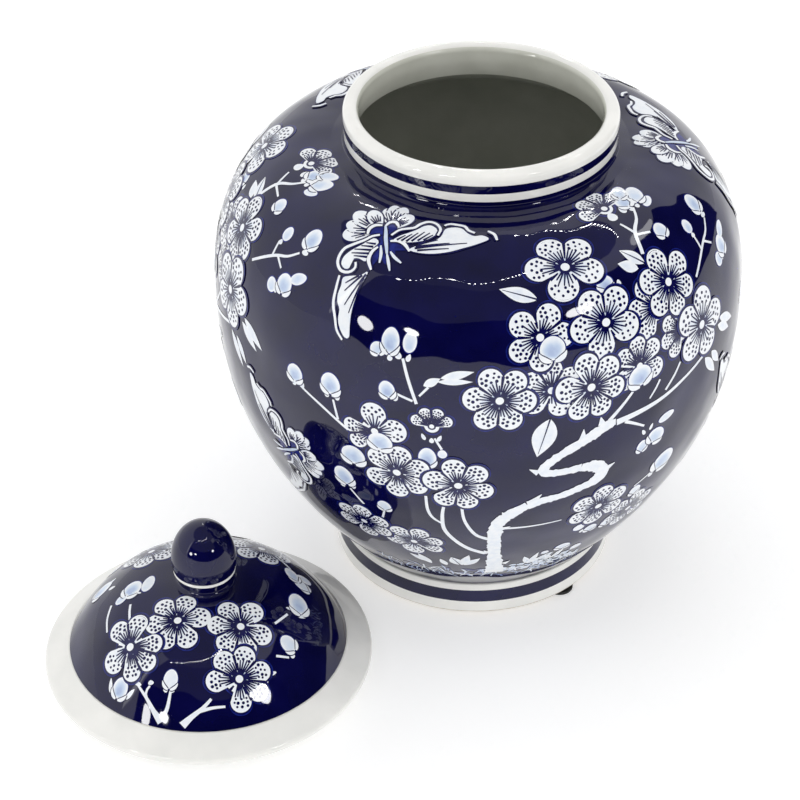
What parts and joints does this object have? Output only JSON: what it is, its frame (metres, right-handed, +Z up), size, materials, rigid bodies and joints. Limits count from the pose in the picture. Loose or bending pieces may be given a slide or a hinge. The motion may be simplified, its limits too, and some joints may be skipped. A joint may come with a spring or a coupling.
{
  "type": "ginger jar",
  "caption": "Round-bellied glazed porcelain ginger jar on a foot ring, with a brimmed dome lid and knob standing beside it; the lid lifts away.",
  "frame": {"origin": "on the jar's axis, on the surface the jar and its lid stand on", "axes": "+Z up along the jar's axis; the lid stands towards -X and -Y of the jar"},
  "size_m": [0.3328, 0.3146, 0.252],
  "materials": {
    "cobalt_glaze": "glossy clear glaze over cobalt with white blossom painting",
    "white_glaze": "glossy white glaze",
    "pad_rubber": "matte"
  },
  "bodies": {
    "jar": {"foot_ring": "white_glaze", "lower_body": "cobalt_glaze", "upper_body": "cobalt_glaze", "neck": "cobalt_glaze", "lip": "white_glaze", "foot_pad_front": "pad_rubber", "foot_pad_back": "pad_rubber", "foot_pad_left": "pad_rubber"},
    "lid": {"lid_flange": "white_glaze", "lid_brim": "white_glaze", "lid_dome": "cobalt_glaze", "knob_stem": "cobalt_glaze", "knob_collar": "white_glaze", "knob": "cobalt_glaze"}
  },
  "joints": [
    {"name": "lid_lift", "type": "slide", "parent": "jar", "child": "lid", "axis": [-0.3798, -0.3252, 0.866], "range_m": [0, 0.3]}
  ]
}
